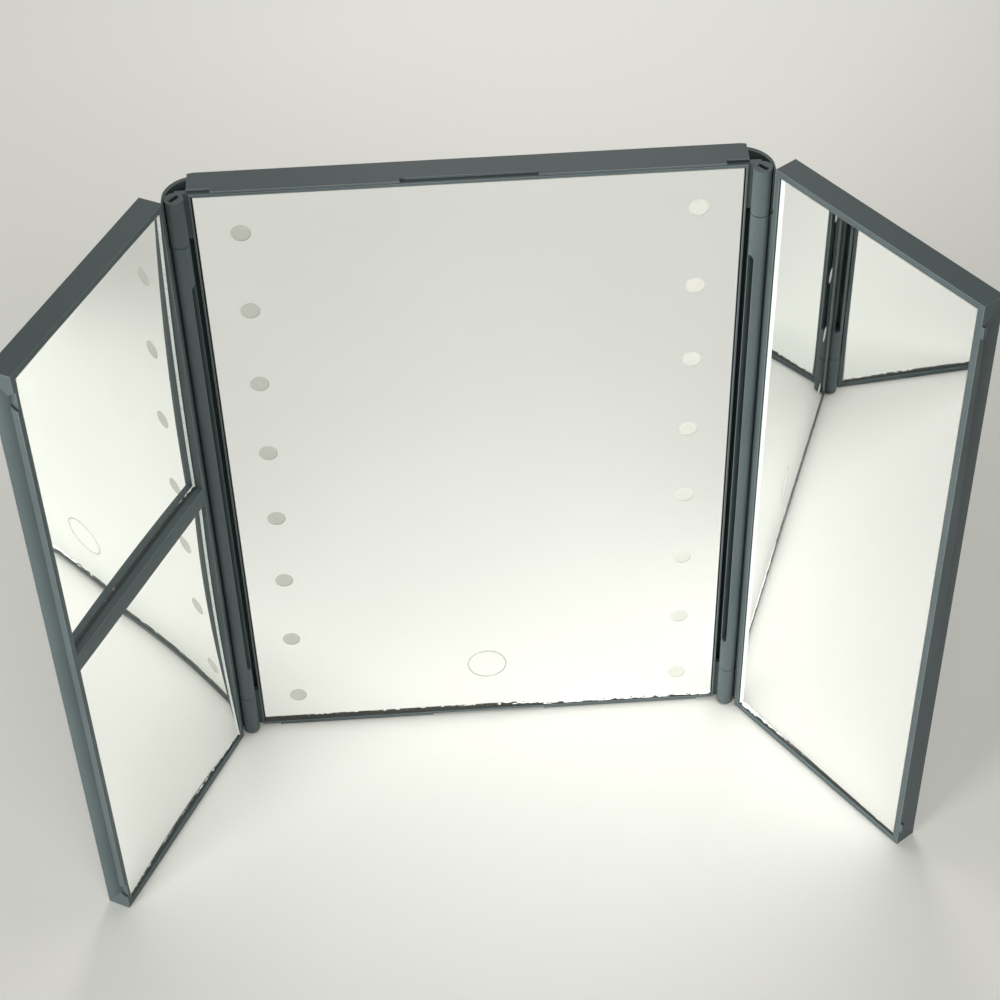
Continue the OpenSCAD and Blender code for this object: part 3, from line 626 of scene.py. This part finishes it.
# %% Window and ring surfaces
WINDOW_ROWS = 8
WINDOW_R = 3.3 * MM
RIM_TONE = "#B4B5AC"
RIM_FROM, RIM_WIDE = 0.8, 0.15  # where the shade starts and how fast it grows, in radii
DIODE_HALF = 1.5 * MM
WELD = 0.001 * MM
# milky dots, a little darker than the silver beside them
window_material, tree, shader = finish(
    "frosted etched window", {"Metallic": 0.35, "Roughness": 0.4}
)
frost = tones(tree, grain(tree, 0.8 * MM, 2), (0.35, "#D6D6D0"), (0.65, "#DCDCD6"))
shade = add(tree, "Attribute", attribute_name="rim_shade").outputs["Fac"]
dim = add(tree, "Mix", {0: shade, 6: frost, 7: linear(RIM_TONE)}, data_type="RGBA")
tree.links.new(dim.outputs[2], shader.inputs["Base Color"])
# a hairline of grey
line_material, tree, shader = finish("etched line", {"Roughness": 0.6, "IOR": 1.5})
line_tone = tones(tree, grain(tree, 1 * MM, 2), (0.35, "#A3A39A"), (0.65, "#B3B3AA"))
tree.links.new(line_tone, shader.inputs["Base Color"])


def turned(name, centres, radii, depths, spokes, shade_at):
    """Profiles (r, t) turned about each centre: x = cx + r cos a, z = cz + r sin a, y = t."""
    a = np.linspace(0, 2 * math.pi, spokes, endpoint=False)
    r, t = np.array(radii), np.array(depths)
    x, z = np.outer(r, np.cos(a)), np.outer(r, np.sin(a))
    y = np.repeat(t[:, None], spokes, 1)
    one = np.stack([x, y, z], -1).reshape(-1, 3)
    i, j = np.meshgrid(np.arange(len(r) - 1), np.arange(spokes), indexing="ij")
    this, following, k = i * spokes, (i + 1) * spokes, (j + 1) % spokes
    quads = np.stack([this + j, this + k, following + k, following + j], -1).reshape(-1, 4)
    offsets = np.array([(cx, 0, cz) for cx, cz in centres])
    points = (offsets[:, None, :] + one[None]).reshape(-1, 3)
    shifts = np.arange(len(centres))[:, None, None] * len(one)
    faces = (shifts + quads[None]).reshape(-1, 4)
    data = bpy.data.meshes.new(name)
    data.from_pydata((points + (0, FRONT_Y, 0)).tolist(), [], faces.tolist())
    values = np.tile(shade_at(one), len(centres))
    layer = data.attributes.new("rim_shade", "FLOAT", "POINT")
    layer.data.foreach_set("value", values.astype(np.float32))
    closed = bmesh.new()
    closed.from_mesh(data)
    bmesh.ops.remove_doubles(closed, verts=closed.verts, dist=WELD)
    bmesh.ops.recalc_face_normals(closed, faces=closed.faces)
    closed.to_mesh(data)
    closed.free()
    return data


def lower_right_shade(points):
    """Shade from 0 to 1 in a crescent at the rim, strongest along the direction (1, -2):
    (x - 2 z) / (R sqrt 5), times (r / R - 0.8) / 0.15, each held between 0 and 1."""
    away = (points[:, 0] - 2 * points[:, 2]) / (WINDOW_R * math.hypot(1, 2))
    rim = np.hypot(points[:, 0], points[:, 2]) / WINDOW_R
    return np.clip(away, 0, 1) * np.clip((rim - RIM_FROM) / RIM_WIDE, 0, 1)


silver_t = panel_box("centre_mirror", "centre")[0][1] + SILVER_DEPTH
diode_low, diode_high = panel_box("right_light_diodes", "centre")
window_x = (diode_low[0] + diode_high[0]) / 2
window_z = np.linspace(diode_low[2] + DIODE_HALF, diode_high[2] - DIODE_HALF, WINDOW_ROWS)
spots = [(side * window_x, z) for side in (-1, 1) for z in window_z]
WINDOW_PROFILE = np.array([0, 0.8, 0.95, 1.0, 1.0, 0]) * WINDOW_R
WINDOW_PROUD = np.array([-0.02, -0.02, -0.02, -0.015, 0.03, 0.03]) * MM
window_data = turned(
    "light_windows", spots, WINDOW_PROFILE, silver_t + WINDOW_PROUD, 40, lower_right_shade
)
window_data.materials.append(window_material)
windows = bpy.data.objects.new("light_windows", window_data)

touch_low, touch_high = panel_box("touch_pad", "centre")
touch_z = (touch_low[2] + touch_high[2]) / 2
RING_R, RING_LINE = 7.5 * MM, 0.5 * MM
RING_PROFILE = np.array([0, -RING_LINE, -RING_LINE, 0, 0]) + RING_R
RING_PROUD = np.array([-0.03, -0.03, 0.03, 0.03, -0.03]) * MM
ring_data = turned(
    "touch_ring",
    [(0.0, touch_z)],
    RING_PROFILE,
    silver_t + RING_PROUD,
    96,
    lambda points: 0 * points[:, 0],
)
ring_data.materials.append(line_material)
touch_ring = bpy.data.objects.new("touch_ring", ring_data)
for piece in (windows, touch_ring):
    bpy.context.scene.collection.objects.link(piece)
    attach(piece, "centre")
print("windows:", len(spots), "at x", round(window_x / MM, 1), "mm")
print("ring at z", round(touch_z / MM, 1), "mm")

# %% [markdown]
# ## The parts inside and the hardware
#
# The rest keeps its CAD shape and gets the finish of the real part: bright drawn steel pins,
# spring-steel sleeves, plated screws, foam tape, a white light board with yellow phosphor
# diodes, a green circuit board. Most of it shows only when a pane or the shell is taken off,
# but the pins show at the ends of the knuckles and the screws on the back.


# %% Hardware and inner finishes
def plain(name, shades, size, sockets, stretch=(1, 1, 1), depth=0.0):
    """Finish with two close shades in blobs of the given size, and an optional relief."""
    made, tree, shader = finish(name, sockets)
    blobs = grain(tree, size, 2, stretch)
    base = tones(tree, blobs, (0.35, shades[0]), (0.65, shades[1]))
    tree.links.new(base, shader.inputs["Base Color"])
    if depth:
        tree.links.new(relief(tree, blobs, depth), shader.inputs["Normal"])
    return made


metal = {"Metallic": 1.0}
LENGTHWISE = (1, 1, 0.05)  # noise drawn out into lines along z
# bright, with fine lines along the pin
drawn_steel = plain(
    "steel, drawn", ("#A9A9A8", "#BFBFBD"), 0.6 * MM, metal | {"Roughness": 0.28}, LENGTHWISE
)
# dark blue-grey shine
spring_steel = plain(
    "spring steel, blued", ("#6C6C70", "#7E7E82"), 0.8 * MM, metal | {"Roughness": 0.35}
)
# cool bright heads
zinc = plain("steel, zinc plated", ("#B5B7BA", "#C9CBCD"), 1.5 * MM, metal | {"Roughness": 0.3})
# warmer, smoother bright sheet
nickel = plain(
    "sheet steel, nickel plated", ("#B9B6AE", "#CBC8C0"), 2 * MM, metal | {"Roughness": 0.22}
)
# matt white with open pores
foam = plain(
    "closed-cell foam tape", ("#DAD9D3", "#EFEEE9"), 0.5 * MM, {"Roughness": 0.9}, depth=0.05 * MM
)
# even milky white
opal = plain("acrylic diffuser, opal", ("#E6E6DE", "#EFEFE8"), 6 * MM, {"Roughness": 0.5})
# glossy white, as light boards are
white_board = plain(
    "circuit board, white solder mask", ("#DDE0DB", "#E9EBE7"), 4 * MM, {"Roughness": 0.35}
)
# warm yellow squares
phosphor = plain(
    "diode resin, yellow phosphor", ("#E3B840", "#EBC75B"), 0.4 * MM, {"Roughness": 0.3}
)
# near-black, no shine
carbon_foam = plain(
    "conductive foam", ("#2B2B2C", "#3D3D3E"), 0.5 * MM, {"Roughness": 0.95}, depth=0.08 * MM
)
# deep green with a soft gloss
green_board = plain(
    "circuit board, green solder mask", ("#17492B", "#1F5A36"), 1.2 * MM, {"Roughness": 0.32}
)
# dull black blocks
epoxy = plain("chip epoxy", ("#232426", "#2D2E30"), 0.3 * MM, {"Roughness": 0.6})
# silvery, slightly crumpled
foil_sockets = metal | {"Roughness": 0.38}
foil = plain(
    "battery foil pouch", ("#B7BABD", "#C8CBCE"), 8 * MM, foil_sockets, depth=0.1 * MM
)
# off-white and dry
tape_white = plain("double-sided tape", ("#D8D6CB", "#E6E4DA"), 3 * MM, {"Roughness": 0.8})
# black with a rubbery shine
insulation = plain(
    "wire insulation, black PVC", ("#1E1E20", "#29292B"), 1 * MM, {"Roughness": 0.45}
)

# %% Give each carried-over CAD node its finish
FINISHES = {
    drawn_steel: ("left_hinge_pins", "right_hinge_pins"),
    spring_steel: ("left_hinge_sleeves", "right_hinge_sleeves"),
    zinc: ("rear_screws", "board_screws"),
    nickel: ("charging_socket",),
    foam: ("centre_mirror_tape", "left_upper_tape", "left_lower_tape", "right_mirror_tape"),
    opal: ("left_diffuser", "right_diffuser"),
    white_board: ("left_light_board", "right_light_board"),
    phosphor: ("left_light_diodes", "right_light_diodes"),
    carbon_foam: ("touch_pad",),
    green_board: ("control_board",),
    epoxy: ("control_chips",),
    foil: ("battery_pack",),
    tape_white: ("battery_tape",),
    insulation: ("battery_wires", "left_light_wires", "right_light_wires"),
}
for skin, names in FINISHES.items():
    for name in names:
        for slot in nodes[name].material_slots:
            slot.material = skin
shown_nodes = sorted(n for n in nodes if not nodes[n].hide_render)
finished = sorted(n for names in FINISHES.values() for n in names)
print("CAD nodes shown:", len(shown_nodes), "all finished:", shown_nodes == finished)
